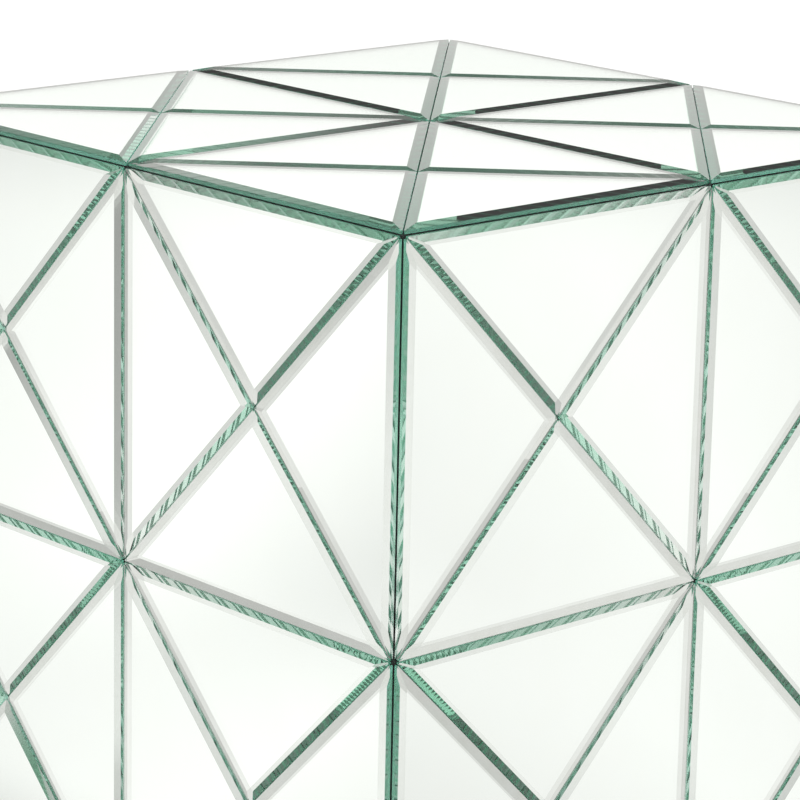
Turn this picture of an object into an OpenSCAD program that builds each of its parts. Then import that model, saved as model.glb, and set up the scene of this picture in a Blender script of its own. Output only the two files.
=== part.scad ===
// Mirrored block cube: an accent table clad on five faces in bevelled triangular mirror tiles.
// Millimetres. +Z is up, z = 0 is the floor, and the origin lies under the middle of the cube.
// Front is -Y, right is +X. Rest pose: the four levelling feet are screwed all the way in.

/* [Mirror pattern] */
// side of one square cell, which four triangular tiles fill
cell = 250; // [200:5:320]
// thickness of the mirror glass
glass_t = 4; // [3:0.5:6]
// thickness left at the ground edge of a tile
edge_t = 2.1; // [1.6:0.1:2.8]
// width of the bevel ground along every edge of a tile
bevel_w = 6.4; // [4:0.1:15]
// width of the open joint between two tiles
joint_gap = 0.9; // [0.5:0.1:2]
// length nipped off each point of a tile
tip_cut = 1; // [0.4:0.1:3]
// thickness of the adhesive film behind a tile
film_t = 0.3; // [0.2:0.1:1]
// distance the adhesive film keeps from the edge of its tile
film_inset = 8; // [4:1:20]

/* [Box] */
// thickness of the panels of the box
panel_t = 15; // [12:1:18]
// side of a square corner post
post_w = 30; // [25:1:45]
// height of the battens under the top and over the base
batten_h = 30; // [28:1:45]
// width of the battens
batten_w = 20; // [15:1:25]

/* [Screws] */
// length of a wood screw
screw_l = 40; // [30:1:40]
// diameter of the screw shank
screw_d = 4; // [3:0.5:5]
// height of the lowest screws of the front and back above the underside of the box
screw_low = 88; // [60:1:100]
// distance from one screw to the next up a corner
screw_pitch = 162; // [60:1:165]
// distance of the top and base screws from the middle of the box
screw_mid = 120; // [60:1:140]

/* [Levelling feet] */
// distance of a foot from the middle of the cube, along X and along Y
foot_pos = 180; // [120:1:190]
// diameter of the nylon pad
pad_d = 32; // [26:1:40]
// height of the nylon pad
pad_h = 6.5; // [5:0.5:10]
// gap between the floor and the underside of the box with the feet screwed in
foot_gap = 12; // [12:0.5:20]
// diameter of the threaded stem
stem_d = 8; // [6:1:10]
// length of the threaded stem above its hexagon
stem_l = 30; // [26:1:34]
// width across the flats of the hexagon
hex_af = 13; // [11:1:17]

/* [Hidden] */
rows = 2;                               // cells along each edge of the cube
core = rows * cell;                     // outside width of the wooden box
half = core / 2;
base_z = foot_gap;
top_z = base_z + core;
mid_z = base_z + half;
inner = core - 2 * panel_t;             // clear width inside the panels
inner_half = inner / 2;
post_c = inner_half - post_w / 2;       // centre of a corner post
batten_l = inner - 2 * post_w;
batten_c = inner_half - batten_w / 2;   // centre line of a batten
floor_z = base_z + panel_t;             // top of the base panel
roof_z = top_z - panel_t;               // underside of the top panel
wall_h = roof_z - base_z;
past = 1;                               // how far a cutter runs past the surface it cuts

// tile outline and bevel
hyp_y = -(cell / 2 - joint_gap / 2);    // long edge of a tile, from the middle of its cell
leg_off = joint_gap / sqrt(2);          // offset of the legs, measured along y
hyp_x = -hyp_y - leg_off;
bevel_slope = (glass_t - edge_t) / bevel_w;
quarter = 90;
leg_turn = 45;

// screws
screw_r = screw_d / 2;
head_r = screw_d;
head_h = 2.6;
point_h = 5;
point_r = 0.2;
recess_l = 4.6;
recess_w = 0.9;
recess_d = 1.6;
side_rise = 30;                         // left and right screws sit this far above the others
side_rows = 3;

// feet
block_w = 50;
block_h = batten_h;
run_fit = 0.05;                         // radial clearance of the stem in its nut and in its pad
nut_flange_r = 11;
nut_flange_h = 1.5;
nut_barrel_h = 13;
nut_wall = 1.15;
nut_barrel_r = stem_d / 2 + run_fit + nut_wall;
stem_r = stem_d / 2;
stem_chamfer = 0.8;
hex_h = 5;
hex_r = hex_af / sqrt(3);
hex_sides = 6;
swivel_gap = 0.2;
pad_floor = 2.2;                        // nylon left under the bore of a pad
pad_chamfer = 1;
pad_bottom_chamfer = 0.6;
hex_z = pad_h + swivel_gap;
round_fn = 96;

mirror_c = [0.84, 0.88, 0.87];
film_c = [0.80, 0.79, 0.74];
black_c = [0.06, 0.065, 0.065];
pine_c = [0.80, 0.64, 0.43];
zinc_c = [0.70, 0.71, 0.72];
nylon_c = [0.10, 0.10, 0.105];

// faces: name, outward heading in steps of 90 degrees from -Y (turning towards +X), names of
// the quadrants in the face's own frame (x to the right, y up, seen from outside)
side_quads = [["lower_left", -1, -1], ["lower_right", 1, -1], ["upper_left", -1, 1], ["upper_right", 1, 1]];
top_quads = [["front_left", -1, -1], ["front_right", 1, -1], ["back_left", -1, 1], ["back_right", 1, 1]];
sides = [["front", 0], ["right", 1], ["back", 2], ["left", 3]];
feet = [["front_left", -1, -1], ["front_right", 1, -1], ["back_left", -1, 1], ["back_right", 1, 1]];
posts = feet;

// ---- mirror tiles ----

// corner v of a polygon, moved t towards p
function nip(v, p, t) = v + t * (p - v) / norm(p - v);

// outline of one tile, right angle at the middle of the cell, long edge towards -y
function tile_corners(inset) = let (
    y0 = hyp_y + inset,
    off = leg_off + inset * sqrt(2),
    x0 = -y0 - off
) [[0, -off], [-x0, y0], [x0, y0]];

function nipped(c, t) = [for (i = [0:2]) for (k = [2, 1]) nip(c[i], c[(i + k) % 3], t)];

// the glass that grinding takes off along an edge on the x axis, with the tile at y > 0
module bevel_cut() {
    rotate([90, 0, 90])
        linear_extrude(height = 2 * cell, center = true)
            polygon([
                [-past, edge_t - past * bevel_slope],
                [bevel_w + past, glass_t + past * bevel_slope],
                [-past, glass_t + past * bevel_slope]
            ]);
}

module tile() {
    difference() {
        linear_extrude(height = glass_t)
            polygon(nipped(tile_corners(0), tip_cut));
        translate([0, hyp_y, 0])
            bevel_cut();
        for (s = [-1, 1])
            translate([0, -leg_off, 0])
                rotate([0, 0, 180 + s * leg_turn])
                    bevel_cut();
    }
}

// the four tiles of one square cell, backs on z = 0
module cell_tiles(q) {
    color(mirror_c)
        translate([q[1] * cell / 2, q[2] * cell / 2, 0])
            for (k = [0:3])
                rotate([0, 0, k * quarter])
                    tile();
}

// the adhesive film behind the sixteen tiles of one face, its back on z = 0
module face_film() {
    color(film_c)
        for (q = side_quads)
            translate([q[1] * cell / 2, q[2] * cell / 2, 0])
                for (k = [0:3])
                    rotate([0, 0, k * quarter])
                        linear_extrude(height = film_t)
                            polygon(tile_corners(film_inset));
}

// puts a face drawn on the xy plane onto a side of the box, z pointing out
module on_side(turn) {
    rotate([0, 0, turn * quarter])
        translate([0, -half, mid_z])
            rotate([90, 0, 0])
                children();
}

module on_top() {
    translate([0, 0, top_z])
        children();
}

// ---- screws ----

// a countersunk screw pointing down, the face of its head on z = 0
module screw_body() {
    rotate_extrude($fn = round_fn)
        polygon([
            [0, 0],
            [head_r, 0],
            [screw_r, -head_h],
            [screw_r, point_h - screw_l],
            [point_r, -screw_l],
            [0, -screw_l]
        ]);
}

module screw() {
    difference() {
        screw_body();
        for (a = [0, quarter])
            rotate([0, 0, a])
                translate([-recess_l / 2, -recess_w / 2, -recess_d])
                    cube([recess_l, recess_w, recess_d + past]);
    }
}

// places the screws of all four walls, in the frame of the whole object
module at_side_screws() {
    for (s = sides)
        rotate([0, 0, s[1] * quarter])
            for (x = [-post_c, post_c])
                for (i = [0:side_rows - 1])
                    translate([x, -half, base_z + screw_low + i * screw_pitch + (s[1] % 2) * side_rise])
                        rotate([90, 0, 0])
                            children();
}

// places two screws over each batten, in a horizontal plane
module at_batten_screws() {
    for (s = sides)
        rotate([0, 0, s[1] * quarter])
            for (x = [-screw_mid, screw_mid])
                translate([x, -batten_c, 0])
                    children();
}

module side_screw_holes() {
    at_side_screws()
        screw_body();
}

module top_screw_holes() {
    translate([0, 0, top_z])
        at_batten_screws()
            screw_body();
}

module base_screw_holes() {
    translate([0, 0, base_z])
        at_batten_screws()
            rotate([180, 0, 0])
                screw_body();
}

module side_screws() {
    color(zinc_c)
        at_side_screws()
            screw();
}

module top_screws() {
    color(zinc_c)
        translate([0, 0, top_z])
            at_batten_screws()
                screw();
}

module base_screws() {
    color(zinc_c)
        translate([0, 0, base_z])
            at_batten_screws()
                rotate([180, 0, 0])
                    screw();
}

// ---- box ----

module top_panel() {
    color(black_c)
        difference() {
            translate([-half, -half, roof_z])
                cube([core, core, panel_t]);
            top_screw_holes();
        }
}

// the base panel lies between the four walls
module base_panel() {
    color(black_c)
        difference() {
            translate([-inner_half, -inner_half, base_z])
                cube([inner, inner, panel_t]);
            base_screw_holes();
            at_feet() {
                translate([0, 0, base_z - past])
                    cylinder(h = panel_t + 2 * past, r = nut_barrel_r, $fn = round_fn);
                translate([0, 0, base_z - past])
                    cylinder(h = nut_flange_h + past, r = nut_flange_r, $fn = round_fn);
            }
        }
}

// front and back walls run the full width, left and right walls fit between them
module wall(turn) {
    width = turn % 2 == 0 ? core : inner;
    color(black_c)
        difference() {
            rotate([0, 0, turn * quarter])
                translate([-width / 2, -half, base_z])
                    cube([width, panel_t, wall_h]);
            side_screw_holes();
        }
}

module post(p) {
    color(pine_c)
        difference() {
            translate([p[1] * post_c - post_w / 2, p[2] * post_c - post_w / 2, floor_z])
                cube([post_w, post_w, roof_z - floor_z]);
            side_screw_holes();
        }
}

module batten(turn, z) {
    rotate([0, 0, turn * quarter])
        translate([-batten_l / 2, -inner_half, z])
            cube([batten_l, batten_w, batten_h]);
}

module top_batten(turn) {
    color(pine_c)
        difference() {
            batten(turn, roof_z - batten_h);
            top_screw_holes();
        }
}

module base_batten(turn) {
    color(pine_c)
        difference() {
            batten(turn, floor_z);
            base_screw_holes();
        }
}

// ---- levelling feet ----

module at_feet() {
    for (f = feet)
        translate([f[1] * foot_pos, f[2] * foot_pos, 0])
            children();
}

module foot_blocks() {
    color(pine_c)
        at_feet()
            difference() {
                translate([-block_w / 2, -block_w / 2, floor_z])
                    cube([block_w, block_w, block_h]);
                translate([0, 0, floor_z - past])
                    cylinder(h = block_h + 2 * past, r = nut_barrel_r, $fn = round_fn);
            }
}

module t_nuts() {
    color(zinc_c)
        at_feet()
            translate([0, 0, base_z])
                difference() {
                    union() {
                        cylinder(h = nut_flange_h, r = nut_flange_r, $fn = round_fn);
                        cylinder(h = nut_barrel_h, r = nut_barrel_r, $fn = round_fn);
                    }
                    translate([0, 0, -past])
                        cylinder(h = nut_barrel_h + 2 * past, r = stem_r + run_fit, $fn = round_fn);
                }
}

module foot_pad(f) {
    color(nylon_c)
        translate([f[1] * foot_pos, f[2] * foot_pos, 0])
            rotate_extrude($fn = round_fn)
                polygon([
                    [0, 0],
                    [pad_d / 2 - pad_bottom_chamfer, 0],
                    [pad_d / 2, pad_bottom_chamfer],
                    [pad_d / 2, pad_h - pad_chamfer],
                    [pad_d / 2 - pad_chamfer, pad_h],
                    [stem_r + run_fit, pad_h],
                    [stem_r + run_fit, pad_floor],
                    [0, pad_floor]
                ]);
}

module foot_stem(f) {
    color(zinc_c)
        translate([f[1] * foot_pos, f[2] * foot_pos, 0]) {
            translate([0, 0, hex_z])
                cylinder(h = hex_h, r = hex_r, $fn = hex_sides);
            translate([0, 0, pad_floor + swivel_gap])
                cylinder(h = hex_z - pad_floor, r = stem_r, $fn = round_fn);
            translate([0, 0, hex_z + hex_h - past])
                cylinder(h = stem_l - stem_chamfer + past, r = stem_r, $fn = round_fn);
            translate([0, 0, hex_z + hex_h + stem_l - stem_chamfer])
                cylinder(h = stem_chamfer, r1 = stem_r, r2 = stem_r - stem_chamfer, $fn = round_fn);
        }
}

// ---- nodes ----

for (s = sides)
    for (q = side_quads)
        on_side(s[1]) translate([0, 0, film_t]) cell_tiles(q);
for (q = top_quads)
    on_top() translate([0, 0, film_t]) cell_tiles(q);
for (s = sides)
    on_side(s[1]) face_film();
on_top() face_film();  // top_film
top_panel();
base_panel();
for (s = sides)
    wall(s[1]);
for (p = posts)
    post(p);
for (s = sides)
    top_batten(s[1]);
for (s = sides)
    base_batten(s[1]);
side_screws();
top_screws();
base_screws();
foot_blocks();
t_nuts();
for (f = feet)
    foot_pad(f);
for (f = feet)
    foot_stem(f);
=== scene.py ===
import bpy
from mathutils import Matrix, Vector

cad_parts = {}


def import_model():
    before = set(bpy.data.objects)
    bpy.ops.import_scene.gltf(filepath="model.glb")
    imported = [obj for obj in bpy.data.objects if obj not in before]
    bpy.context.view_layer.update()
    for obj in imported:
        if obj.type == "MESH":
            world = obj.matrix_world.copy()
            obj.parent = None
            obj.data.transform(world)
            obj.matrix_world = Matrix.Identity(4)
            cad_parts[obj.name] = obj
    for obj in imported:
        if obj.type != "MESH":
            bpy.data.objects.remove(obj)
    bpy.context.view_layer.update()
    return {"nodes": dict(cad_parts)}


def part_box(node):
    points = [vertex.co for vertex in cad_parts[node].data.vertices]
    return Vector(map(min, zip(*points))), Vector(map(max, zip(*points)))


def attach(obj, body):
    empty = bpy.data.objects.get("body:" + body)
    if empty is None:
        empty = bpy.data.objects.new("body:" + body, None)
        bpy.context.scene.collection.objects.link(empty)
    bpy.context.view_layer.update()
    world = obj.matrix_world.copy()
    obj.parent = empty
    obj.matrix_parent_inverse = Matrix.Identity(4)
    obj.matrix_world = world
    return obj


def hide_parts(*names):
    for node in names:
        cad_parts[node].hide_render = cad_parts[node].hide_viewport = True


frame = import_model()

import math

import bmesh
import bpy
from mathutils import Matrix, Vector

# The looks of a mirrored cube table: materials on the CAD pieces, the silvering behind its tiles,
# the threads of its levelling feet, and the studio it stands in. Lengths are in metres.

SIDES = {
    "front": Vector((0, -1, 0)),
    "right": Vector((1, 0, 0)),
    "back": Vector((0, 1, 0)),
    "left": Vector((-1, 0, 0)),
    "top": Vector((0, 0, 1)),
}
NODES = frame["nodes"]
TILES = [n for n in NODES if n.endswith("_tiles")]
MM = 0.001


# ---- node helpers ----

def wire(nt, value, socket):
    """Put a number or a colour on a socket, or link another node's output to it."""
    if isinstance(value, (int, float)):
        socket.default_value = value
    elif isinstance(value, tuple):
        socket.default_value = (*value, 1)
    else:
        nt.links.new(value, socket)


def material(name):
    """A new material, with its node tree, its Principled shader and its output."""
    m = bpy.data.materials.new(name)
    m.use_nodes = True
    nt = m.node_tree
    nt.nodes.clear()
    out = nt.nodes.new("ShaderNodeOutputMaterial")
    p = nt.nodes.new("ShaderNodeBsdfPrincipled")
    nt.links.new(p.outputs[0], out.inputs["Surface"])
    return m, nt, p, out


def math_node(nt, op, *values):
    n = nt.nodes.new("ShaderNodeMath")
    n.operation = op
    for i, v in enumerate(values):
        wire(nt, v, n.inputs[i])
    return n.outputs[0]


def blend(nt, k, a, b):
    """The number a where k is 0, b where it is 1."""
    n = nt.nodes.new("ShaderNodeMix")
    for i, v in ((0, k), (2, a), (3, b)):
        wire(nt, v, n.inputs[i])
    return n.outputs[0]


def tint(nt, k, a, b):
    """The colour a where k is 0, b where it is 1."""
    n = nt.nodes.new("ShaderNodeMix")
    n.data_type = "RGBA"
    for i, v in ((0, k), (6, a), (7, b)):
        wire(nt, v, n.inputs[i])
    return n.outputs[2]


def smooth(nt, v, lo, hi):
    """0 where v is lo or less, 1 where it is hi or more, and a soft rise between."""
    n = nt.nodes.new("ShaderNodeMapRange")
    n.interpolation_type = "SMOOTHSTEP"
    nt.links.new(v, n.inputs["Value"])
    n.inputs["From Min"].default_value = lo
    n.inputs["From Max"].default_value = hi
    return n.outputs["Result"]


def coords(nt, stretch=(1, 1, 1)):
    """Places on the piece in metres, squeezed by stretch."""
    tc = nt.nodes.new("ShaderNodeTexCoord")
    mp = nt.nodes.new("ShaderNodeMapping")
    mp.inputs["Scale"].default_value = stretch
    nt.links.new(tc.outputs["Object"], mp.inputs["Vector"])
    return mp.outputs["Vector"]


def split(nt, vector):
    n = nt.nodes.new("ShaderNodeSeparateXYZ")
    nt.links.new(vector, n.inputs[0])
    return n.outputs


# a noise texture keeps mostly between these values
NOISE_RANGE = (0.3, 0.7)


def noise(nt, vector, size, detail=2.0):
    """Clouds about size metres across, spread from 0 to 1."""
    n = nt.nodes.new("ShaderNodeTexNoise")
    nt.links.new(vector, n.inputs["Vector"])
    n.inputs["Scale"].default_value = 1 / size
    n.inputs["Detail"].default_value = detail
    return smooth(nt, n.outputs[0], *NOISE_RANGE)


def bump(nt, p, height, depth):
    """Raise the surface by up to depth metres."""
    n = nt.nodes.new("ShaderNodeBump")
    n.inputs["Distance"].default_value = depth
    wire(nt, height, n.inputs["Height"])
    nt.links.new(n.outputs[0], p.inputs["Normal"])


# ---- materials ----

GLASS_IOR = 1.52
# how much red, green and blue light a metre of float glass takes, as an exponent
GLASS_TAKES = (4.2, 0.68, 1.38)
GLASS_DENSITY = 42.0
# the backs of the tiles lie this far out along X, Y and Z
TILE_BACKS = (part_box("right_film")[1][0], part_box("back_film")[1][1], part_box("top_film")[1][2])
TILE_BACK_SLACK = 0.0001
# how squarely a surface faces out of its side of the cube: flats 1, bevels this, ground edges 0
BEVEL_FACING, BEVEL_SPREAD = 0.9587, 0.015
EDGE_FACING = 0.5
GROUND_ROUGHNESS = 0.25
# flat and bevelled glass, each in soft clouds of two tints; the bevels' grey is painted shade
FLAT_TINTS, FLAT_CLOUD = ((1.0, 1.0, 1.0), (0.992, 0.996, 0.994)), 0.06
BEVEL_SHADE_TINTS, BEVEL_CLOUD = ((0.77, 0.77, 0.765), (0.74, 0.74, 0.725)), 0.012


def glass():
    """Float glass: green through its thickness, greyed at its bevels by painted shade, matt at its cut
    edges.
    """
    m, nt, p, out = material("tile_glass")
    p.inputs["IOR"].default_value = GLASS_IOR
    p.inputs["Transmission Weight"].default_value = 1.0
    body = nt.nodes.new("ShaderNodeVolumeAbsorption")
    body.inputs["Density"].default_value = GLASS_DENSITY
    body.inputs["Color"].default_value = (*[1 - t / GLASS_DENSITY for t in GLASS_TAKES], 1)
    nt.links.new(body.outputs[0], out.inputs["Volume"])
    at = coords(nt)
    place = [math_node(nt, "ABSOLUTE", v) for v in split(nt, at)]
    geo = nt.nodes.new("ShaderNodeNewGeometry")
    normal = [math_node(nt, "ABSOLUTE", v) for v in split(nt, geo.outputs["True Normal"])]
    facing = 0.0
    for where, lean, back in zip(place, normal, TILE_BACKS):
        on_this_side = math_node(nt, "GREATER_THAN", where, back - TILE_BACK_SLACK)
        facing = math_node(nt, "MAXIMUM", facing, math_node(nt, "MULTIPLY", on_this_side, lean))
    bevel = math_node(nt, "COMPARE", facing, BEVEL_FACING, BEVEL_SPREAD)
    edge = math_node(nt, "LESS_THAN", facing, EDGE_FACING)
    on_flats = tint(nt, noise(nt, at, FLAT_CLOUD), *FLAT_TINTS)
    # painted shade: a grey tint that darkens the bevels
    shaded_bevels = tint(nt, noise(nt, at, BEVEL_CLOUD), *BEVEL_SHADE_TINTS)
    wire(nt, tint(nt, bevel, on_flats, shaded_bevels), p.inputs["Base Color"])
    wire(nt, math_node(nt, "MULTIPLY", edge, GROUND_ROUGHNESS), p.inputs["Roughness"])
    return m


SILVER_TINTS, SILVER_CLOUD = ((0.987, 0.987, 0.980), (0.983, 0.982, 0.972)), 0.035


def silver():
    """Silver on the back of the glass, with the faint clouds of a sprayed coat."""
    m, nt, p, out = material("silvering")
    clouds = noise(nt, coords(nt), SILVER_CLOUD, 3.0)
    wire(nt, tint(nt, clouds, *SILVER_TINTS), p.inputs["Base Color"])
    p.inputs["Metallic"].default_value = 1.0
    p.inputs["Roughness"].default_value = 0.0
    return m


SKIN_CLOUD = 0.05
GLOSS_SPREAD = 0.08


def skin(name, dark, light, gloss, grain, depth):
    """Paint, film or moulded plastic: cloudy colour, a fine grain, and a roughness that follows both."""
    m, nt, p, out = material(name)
    at = coords(nt)
    clouds = noise(nt, at, SKIN_CLOUD, 3.0)
    fine = noise(nt, at, grain, 2.0)
    wire(nt, tint(nt, clouds, dark, light), p.inputs["Base Color"])
    wear = math_node(nt, "MULTIPLY", math_node(nt, "ADD", clouds, fine), 0.5)
    wire(nt, blend(nt, wear, gloss - GLOSS_SPREAD, gloss + GLOSS_SPREAD), p.inputs["Roughness"])
    bump(nt, p, fine, depth)
    return m


PINE_STRETCH = 0.04
RING_WIDTH = 0.0045
FIBRE_WIDTH = 0.0012
EARLY_WOOD, LATE_WOOD, FIBRE = (0.67, 0.48, 0.28), (0.47, 0.28, 0.13), (0.60, 0.42, 0.24)
# a wave texture of scale 1 goes through 20 radians in a metre
WAVE_RADIANS = 20


def pine(axis):
    """Planed pine with its growth rings and fibres running along one axis."""
    m, nt, p, out = material("pine_" + axis.lower())
    at = coords(nt, tuple(PINE_STRETCH if a == axis else 1.0 for a in "XYZ"))
    rings = nt.nodes.new("ShaderNodeTexWave")
    rings.wave_type = "RINGS"
    rings.rings_direction = axis
    rings.wave_profile = "SAW"
    nt.links.new(at, rings.inputs["Vector"])
    rings.inputs["Scale"].default_value = 2 * math.pi / (WAVE_RADIANS * RING_WIDTH)
    rings.inputs["Distortion"].default_value = 2.5
    rings.inputs["Detail Scale"].default_value = 0.3
    fibres = noise(nt, at, FIBRE_WIDTH, 3.0)
    wood = tint(nt, rings.outputs["Fac"], EARLY_WOOD, LATE_WOOD)
    wire(nt, tint(nt, fibres, wood, FIBRE), p.inputs["Base Color"])
    wire(nt, blend(nt, fibres, 0.52, 0.68), p.inputs["Roughness"])
    bump(nt, p, fibres, 0.00008)
    return m


# cells of the zinc's spangle in a metre, and how far the dull patches hide them
SPANGLES = 900.0
DULLING = 0.4
SPANGLE_TINTS, DULL_TINT = ((0.66, 0.67, 0.69), (0.58, 0.59, 0.60)), (0.50, 0.49, 0.46)


def zinc():
    """Bright zinc on steel, with its small spangle and a few duller patches."""
    m, nt, p, out = material("zinc")
    at = coords(nt)
    spangle = nt.nodes.new("ShaderNodeTexVoronoi")
    spangle.inputs["Scale"].default_value = SPANGLES
    nt.links.new(at, spangle.inputs["Vector"])
    shade = split(nt, spangle.outputs["Color"])[0]
    dull = noise(nt, at, 0.004, 3.0)
    plated = tint(nt, shade, *SPANGLE_TINTS)
    patches = math_node(nt, "MULTIPLY", dull, DULLING)
    wire(nt, tint(nt, patches, plated, DULL_TINT), p.inputs["Base Color"])
    p.inputs["Metallic"].default_value = 1.0
    wire(nt, blend(nt, dull, 0.22, 0.42), p.inputs["Roughness"])
    bump(nt, p, dull, 0.00002)
    return m


GLASS = glass()
SILVER = silver()
BACKING = skin("backing_paint", (0.075, 0.075, 0.07), (0.105, 0.105, 0.10), 0.6, 0.0011, 0.00003)
BLACK = skin("black_paint", (0.010, 0.011, 0.011), (0.014, 0.015, 0.015), 0.55, 0.0025, 0.00006)
FILM = skin("film", (0.66, 0.65, 0.57), (0.74, 0.73, 0.67), 0.5, 0.003, 0.00004)
NYLON = skin("nylon", (0.017, 0.017, 0.018), (0.024, 0.024, 0.025), 0.45, 0.0007, 0.00004)
PINE = {axis: pine(axis) for axis in "XYZ"}
ZINC = zinc()


def dress(names, mat):
    for n in names:
        for s in NODES[n].material_slots:
            s.material = mat


def named(*ends):
    return [n for n in NODES if n.endswith(ends)]


dress(TILES, GLASS)
dress(named("_film"), FILM)
dress(named("_panel"), BLACK)
dress(named("_post"), PINE["Z"])
dress(named("_front_batten", "_back_batten", "_blocks"), PINE["X"])
dress(named("_right_batten", "_left_batten"), PINE["Y"])
dress(named("_screws", "_nuts", "_stem"), ZINC)
dress(named("_pad"), NYLON)


# ---- silvering: a thin sheet on the back of every tile, sunk a little into the glass ----

# how deep the sheet reaches into the glass, and how far it stands out behind it
SINK, REST = 0.02 * MM, 0.04 * MM
SHRINK = 0.9996
SAME_PLACE = 1e-6
SAME_PLANE = 0.01
BACK_FACING = -0.999


def object_from(name, bm, *mats):
    """A new object in the scene, made of a finished bmesh."""
    me = bpy.data.meshes.new(name)
    bm.to_mesh(me)
    bm.free()
    for mat in mats:
        me.materials.append(mat)
    o = bpy.data.objects.new(me.name, me)
    bpy.context.scene.collection.objects.link(o)
    return o


def silvering(name):
    """The backs of one node's tiles as a sheet: silver towards the glass, paint behind it."""
    out = SIDES[name.split("_")[0]]
    bm = bmesh.new()
    bm.from_mesh(NODES[name].data)
    bm.normal_update()
    not_back = [f for f in bm.faces if f.normal.dot(out) > BACK_FACING]
    bmesh.ops.delete(bm, geom=not_back, context="FACES")
    bmesh.ops.remove_doubles(bm, verts=bm.verts, dist=SAME_PLACE)
    bmesh.ops.dissolve_limit(bm, angle_limit=SAME_PLANE, verts=bm.verts, edges=bm.edges)
    for f in bm.faces:
        c = sum((v.co for v in f.verts), Vector()) / len(f.verts)
        for v in f.verts:
            v.co = c + (v.co - c) * SHRINK
    for v in bm.verts:
        v.co -= out * REST
    bm.normal_update()
    made = bmesh.ops.extrude_face_region(bm, geom=list(bm.faces), use_keep_orig=True)
    for v in [g for g in made["geom"] if isinstance(g, bmesh.types.BMVert)]:
        v.co += out * (SINK + REST)
    bmesh.ops.recalc_face_normals(bm, faces=bm.faces)
    for f in bm.faces:
        f.material_index = 0 if f.normal.dot(out) > -BACK_FACING else 1
    o = object_from(name.replace("_tiles", "_silvering"), bm, SILVER, BACKING)
    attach(o, "root")


for t in TILES:
    silvering(t)


# ---- threaded stems: the CAD's plain stems with their real M8 thread and a chamfered hexagon ----

PITCH = 1.25 * MM
THREAD_DEPTH = 0.767 * MM
ROOT_FLAT, CREST_FLAT = 0.25, 0.125
STEM_R = 4.0 * MM
HEX_FLAT_R = 6.5 * MM
HEX_EASE_R, HEX_EASE = 6.6 * MM, 0.55 * MM
SPIGOT = 4.3 * MM
HEX_H = 5.0 * MM
END_CHAMFER = 0.8 * MM
AROUND = 24
ROWS_PER_PITCH = 12


def hexagon(angle, widest):
    """Distance from the axis to the hexagon's side, no more than widest."""
    sixth = math.pi / 3
    return min(HEX_FLAT_R / math.cos((angle % sixth) - sixth / 2), widest)


def thread(angle, up, length):
    """Distance from the axis to the thread, up metres above the hexagon."""
    turn = (up / PITCH - angle / (2 * math.pi)) % 1.0
    flank = min(max((abs(turn - 0.5) * 2 - ROOT_FLAT) / (1 - ROOT_FLAT - CREST_FLAT), 0.0), 1.0)
    run_out = min(up / PITCH, 1.0)
    return min(STEM_R - THREAD_DEPTH * (1 - flank) * run_out, STEM_R - END_CHAMFER + length - up)


def stem_rings(low, high):
    """Rings from the foot of the stem to its end: a height, and the distance from the axis at an angle."""
    hex_z = low + SPIGOT
    top = hex_z + HEX_H
    wide = HEX_FLAT_R * 2
    rings = [(low, lambda a: STEM_R), (hex_z, lambda a: STEM_R), (hex_z, lambda a: hexagon(a, HEX_EASE_R))]
    rings += [(z, lambda a: hexagon(a, wide)) for z in (hex_z + HEX_EASE, top - HEX_EASE)]
    rings += [(top, lambda a: hexagon(a, HEX_EASE_R))]
    length = high - top
    rows = round(length / PITCH * ROWS_PER_PITCH)
    for i in range(rows + 1):
        up = length * i / rows
        rings.append((top + up, lambda a, up=up: thread(a, up, length)))
    return rings


def threaded_stem(node_name):
    """One foot's stem with its thread and hexagon, in the place of the CAD's."""
    lo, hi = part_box(node_name)
    cx, cy = (lo[0] + hi[0]) / 2, (lo[1] + hi[1]) / 2
    bm = bmesh.new()
    loops = []
    for z, reach in stem_rings(lo[2], hi[2]):
        loop = []
        for j in range(AROUND):
            angle = 2 * math.pi * j / AROUND
            far = reach(angle)
            loop.append(bm.verts.new((cx + far * math.cos(angle), cy + far * math.sin(angle), z)))
        loops.append(loop)
    for below, above in zip(loops, loops[1:]):
        for j in range(AROUND):
            k = (j + 1) % AROUND
            bm.faces.new((below[j], below[k], above[k], above[j]))
    bm.faces.new(loops[0][::-1])
    bm.faces.new(loops[-1])
    bmesh.ops.recalc_face_normals(bm, faces=bm.faces)
    o = object_from(node_name.replace("_foot_stem", "_threaded_stem"), bm, ZINC)
    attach(o, node_name.replace("_foot_stem", "_stem"))
    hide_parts(node_name)


for n in named("_foot_stem"):
    threaded_stem(n)


# ---- floor, world and light ----

# The values in SKY, FLAGS, NEAR, RING and FAR come from least-squares fits to the light in the
# photograph's mirrors. Some are a fit's own figures, rounded, and the rest were changed after it.

# brightness of the studio: (elevation in degrees, value) for its walls and ceiling
SKY = (
    (0, 1.04), (8, 0.98), (14, 1.2), (18, 1.25), (22, 0.64),
    (27, 0.22), (34, 0.37), (55, 0.25), (90, 0.04),
)
# darker things stand far off: (bearing, elevation, half width, half height, tilt, how dark)
FLAGS = (
    (224.4, 16.15, 0.352, 0.04, 0.012, 1.0),
    (236.7, 20.4, 0.21, 0.08, 0.178, 1.0),
    (307.0, 7.0, 0.3, 0.06, 0.0, 0.35),
)
# the studio's white is a trace warm
WHITE = (0.998, 1.0, 0.967)
# painted light and shade on the glowing floor that only the mirrors see: (bearing in degrees, value),
# close to the cube and further out
NEAR = ((-180, 0.82), (-60, 0.9), (-20, 1.08), (30, 0.7), (75, 0.75), (120, 1.03), (180, 0.82))
RING = (
    (-180, 0.8), (-100, 0.45), (-75, 0.25), (-60, 0.66), (-52, 0.98), (-40, 1.15),
    (-28, 0.85), (-10, 0.65), (10, 0.62), (35, 0.22), (60, 0.24), (90, 1.1),
    (105, 1.0), (117, 0.95), (130, 1.06), (150, 0.8), (180, 0.8),
)
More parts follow.
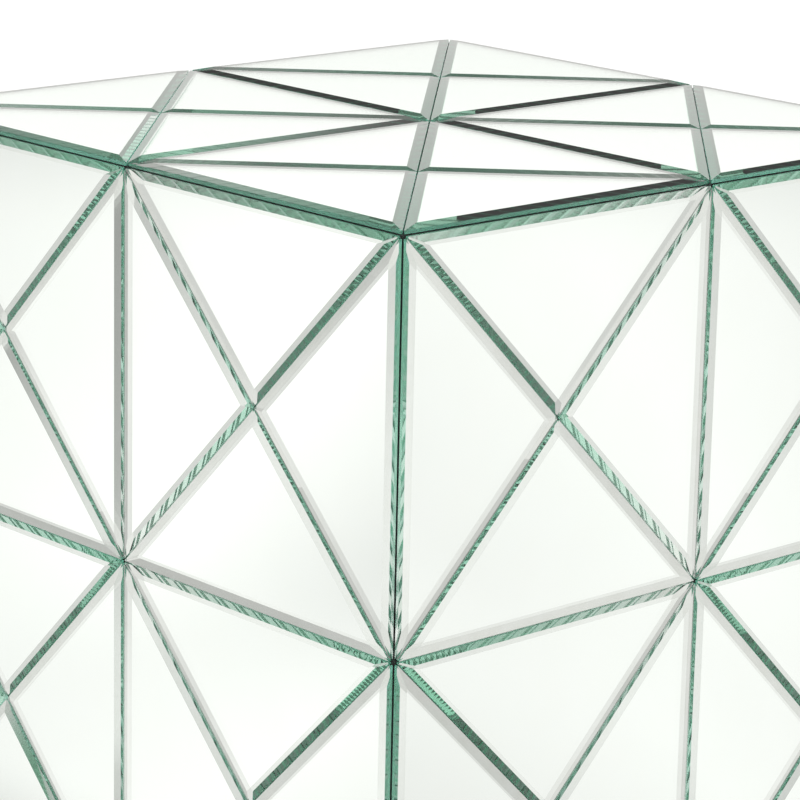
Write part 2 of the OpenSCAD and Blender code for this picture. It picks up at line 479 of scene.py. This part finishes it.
# and the value further out still, with the distances over which one part goes over into the next
FAR = 0.75
NEAR_TO_RING = (0.65, 1.15)
RING_TO_FAR = (2.3, 3.6)
# painted shade: the glowing floor is darker under the cube and for a little way around it
SHADE, SHADE_ENDS = 0.6, (0.24, 0.42)
FLOOR_HALF = 60.0
FLOOR_GREY = (0.85, 0.85, 0.85)
# the most that a ramp can give, since its own colours stop at 1
BRIGHTEST = 1.4
# the soft edge of a flag, in parts of its size, and a distance that puts a flag out of sight
FLAG_EDGE = (0.6, 1.4)
OUT_OF_SIGHT = 10.0
SUN = 2.9
SUN_SPREAD = 70


def ramp_node(nt, fac, stops, lo, hi):
    """A grey ramp: stops are (value, grey) with value running from lo to hi."""
    r = nt.nodes.new("ShaderNodeValToRGB")
    e = r.color_ramp
    e.interpolation = "LINEAR"
    for i, (v, c) in enumerate(stops):
        pos = (v - lo) / (hi - lo)
        n = e.elements[i] if i < 2 else e.elements.new(pos)
        n.position = pos
        n.color = (c / BRIGHTEST, c / BRIGHTEST, c / BRIGHTEST, 1)
    nt.links.new(math_node(nt, "DIVIDE", math_node(nt, "SUBTRACT", fac, lo), hi - lo), r.inputs[0])
    return math_node(nt, "MULTIPLY", r.outputs[0], BRIGHTEST)


def plane(name, half, mat):
    """A square of the studio's floor."""
    me = bpy.data.meshes.new(name)
    corners = [(-half, -half, 0), (half, -half, 0), (half, half, 0), (-half, half, 0)]
    me.from_pydata(corners, [], [(0, 1, 2, 3)])
    me.materials.append(mat)
    o = bpy.data.objects.new(name, me)
    bpy.context.scene.collection.objects.link(o)
    return o


def floor_glow():
    """What the mirrors see of the floor: a glow with painted light and shade, pale with soft darker and
    lighter parts.
    """
    m = bpy.data.materials.new("floor_painted_light_in_mirrors")
    m.use_nodes = True
    nt = m.node_tree
    nt.nodes.clear()
    out = nt.nodes.new("ShaderNodeOutputMaterial")
    em = nt.nodes.new("ShaderNodeEmission")
    tc = nt.nodes.new("ShaderNodeTexCoord")
    sep = nt.nodes.new("ShaderNodeSeparateXYZ")
    nt.links.new(tc.outputs["Object"], sep.inputs[0])
    x, y = sep.outputs[0], sep.outputs[1]
    xx = math_node(nt, "MULTIPLY", x, x)
    yy = math_node(nt, "MULTIPLY", y, y)
    r = math_node(nt, "SQRT", math_node(nt, "ADD", xx, yy))
    turn = math_node(nt, "ARCTAN2", x, math_node(nt, "MULTIPLY", y, -1.0))
    bearing = math_node(nt, "MULTIPLY", turn, 180 / math.pi)
    # painted light and shade glowing from the floor, by bearing and by distance from the cube
    near = ramp_node(nt, bearing, NEAR, -180, 180)
    ring = ramp_node(nt, bearing, RING, -180, 180)
    v = blend(nt, smooth(nt, r, *NEAR_TO_RING), near, ring)
    v = blend(nt, smooth(nt, r, *RING_TO_FAR), v, FAR)
    edge = math_node(nt, "MAXIMUM", math_node(nt, "ABSOLUTE", x), math_node(nt, "ABSOLUTE", y))
    # painted shade under the cube and for a little way around it
    v = math_node(nt, "MULTIPLY", v, blend(nt, smooth(nt, edge, *SHADE_ENDS), SHADE, 1.0))
    wire(nt, WHITE, em.inputs["Color"])
    nt.links.new(v, em.inputs["Strength"])
    nt.links.new(em.outputs[0], out.inputs["Surface"])
    m.cycles.emission_sampling = "NONE"
    return m


def stage():
    """Two floors in one place: a plain pale one for the camera, and a glowing one with painted light and
    shade that only the mirrors see.
    """
    m, nt, p, out = material("floor")
    wire(nt, FLOOR_GREY, p.inputs["Base Color"])
    p.inputs["Roughness"].default_value = 0.9
    floor = plane("floor", FLOOR_HALF, m)
    floor.visible_glossy = False
    floor.visible_transmission = False
    glow = plane("floor_painted_light_in_mirrors", FLOOR_HALF, floor_glow())
    glow.visible_camera = False
    glow.visible_diffuse = False
    glow.visible_shadow = False


def flag_shade(nt, x, y, z, bearing, height, wide, tall, tilt, dark):
    """1 past an oval flag with soft edges, down to 1 - dark behind it."""
    sa, ca = math.sin(math.radians(bearing)), math.cos(math.radians(bearing))
    along = math_node(nt, "ADD", math_node(nt, "MULTIPLY", x, sa), math_node(nt, "MULTIPLY", y, -ca))
    across = math_node(nt, "ADD", math_node(nt, "MULTIPLY", x, ca), math_node(nt, "MULTIPLY", y, sa))
    up = math_node(nt, "SUBTRACT", z, math.sin(math.radians(height)))
    up = math_node(nt, "SUBTRACT", up, math_node(nt, "MULTIPLY", across, tilt))
    u = math_node(nt, "POWER", math_node(nt, "DIVIDE", math_node(nt, "ABSOLUTE", across), wide), 2.0)
    v = math_node(nt, "POWER", math_node(nt, "DIVIDE", math_node(nt, "ABSOLUTE", up), tall), 2.0)
    d = math_node(nt, "SQRT", math_node(nt, "ADD", u, v))
    behind = math_node(nt, "MULTIPLY", math_node(nt, "LESS_THAN", along, 0.0), OUT_OF_SIGHT)
    return blend(nt, smooth(nt, math_node(nt, "ADD", d, behind), *FLAG_EDGE), 1.0 - dark, 1.0)


def world():
    """The studio's walls and ceiling, with the flags in front of them."""
    w = bpy.data.worlds.new("studio")
    bpy.context.scene.world = w
    w.use_nodes = True
    nt = w.node_tree
    nt.nodes.clear()
    out = nt.nodes.new("ShaderNodeOutputWorld")
    bg = nt.nodes.new("ShaderNodeBackground")
    tc = nt.nodes.new("ShaderNodeTexCoord")
    sep = nt.nodes.new("ShaderNodeSeparateXYZ")
    nt.links.new(tc.outputs["Generated"], sep.inputs[0])
    x, y, z = sep.outputs
    v = ramp_node(nt, z, [(math.sin(math.radians(e)), c) for e, c in SKY], 0.0, 1.0)
    for flag in FLAGS:
        v = math_node(nt, "MULTIPLY", v, flag_shade(nt, x, y, z, *flag))
    wire(nt, WHITE, bg.inputs["Color"])
    nt.links.new(v, bg.inputs["Strength"])
    nt.links.new(bg.outputs[0], out.inputs[0])


def lamp():
    """Soft light from straight above, which the mirrors don't see."""
    l = bpy.data.lights.new("overhead", "SUN")
    l.angle = math.radians(SUN_SPREAD)
    l.energy = SUN
    o = bpy.data.objects.new("overhead", l)
    o.location = (0, 0, 3)
    o.visible_glossy = False
    o.visible_transmission = False
    bpy.context.scene.collection.objects.link(o)


# the photograph's camera, solved from the corners of the square cells: its direction in degrees,
# and its place from the near top corner of the box, in cells
AZIMUTH, ELEVATION, ROLL = 47.567, 14.629, 1.242
CELL = 0.25
NEAR_CORNER = Vector((0.25, -0.25, 0.512))
FROM_CORNER = Vector((5.582, -5.101, 1.596))
LENS, SENSOR = 156.25, 36.0


def camera():
    az, el, roll = math.radians(AZIMUTH), math.radians(ELEVATION), math.radians(ROLL)
    c = bpy.data.cameras.new("camera")
    c.lens, c.sensor_width = LENS, SENSOR
    c.clip_start, c.clip_end = 0.05, 200
    o = bpy.data.objects.new("camera", c)
    bpy.context.scene.collection.objects.link(o)
    back = Vector((math.sin(az) * math.cos(el), -math.cos(az) * math.cos(el), math.sin(el)))
    o.rotation_mode = "QUATERNION"
    o.location = NEAR_CORNER + FROM_CORNER * CELL
    q = (-back).to_track_quat("-Z", "Y")
    o.rotation_quaternion = q @ Matrix.Rotation(roll, 3, "Z").to_quaternion()
    bpy.context.scene.camera = o


stage()
world()
lamp()
camera()
sc = bpy.context.scene
sc.view_settings.view_transform = "Standard"
sc.view_settings.look = "None"
sc.view_settings.exposure = 0.0
sc.view_settings.gamma = 1.0
# light trapped between silver and glass goes through very many bounces
BOUNCES = 160
cy = sc.cycles
cy.max_bounces = BOUNCES
cy.glossy_bounces = BOUNCES
cy.transmission_bounces = BOUNCES
cy.diffuse_bounces = 3
cy.transparent_max_bounces = 8
cy.caustics_reflective = True
cy.caustics_refractive = True
cy.blur_glossy = 0.0
cy.sample_clamp_indirect = 0.0
cy.use_denoising = True
cy.denoiser = "OPENIMAGEDENOISE"
cy.denoising_input_passes = "RGB_ALBEDO_NORMAL"
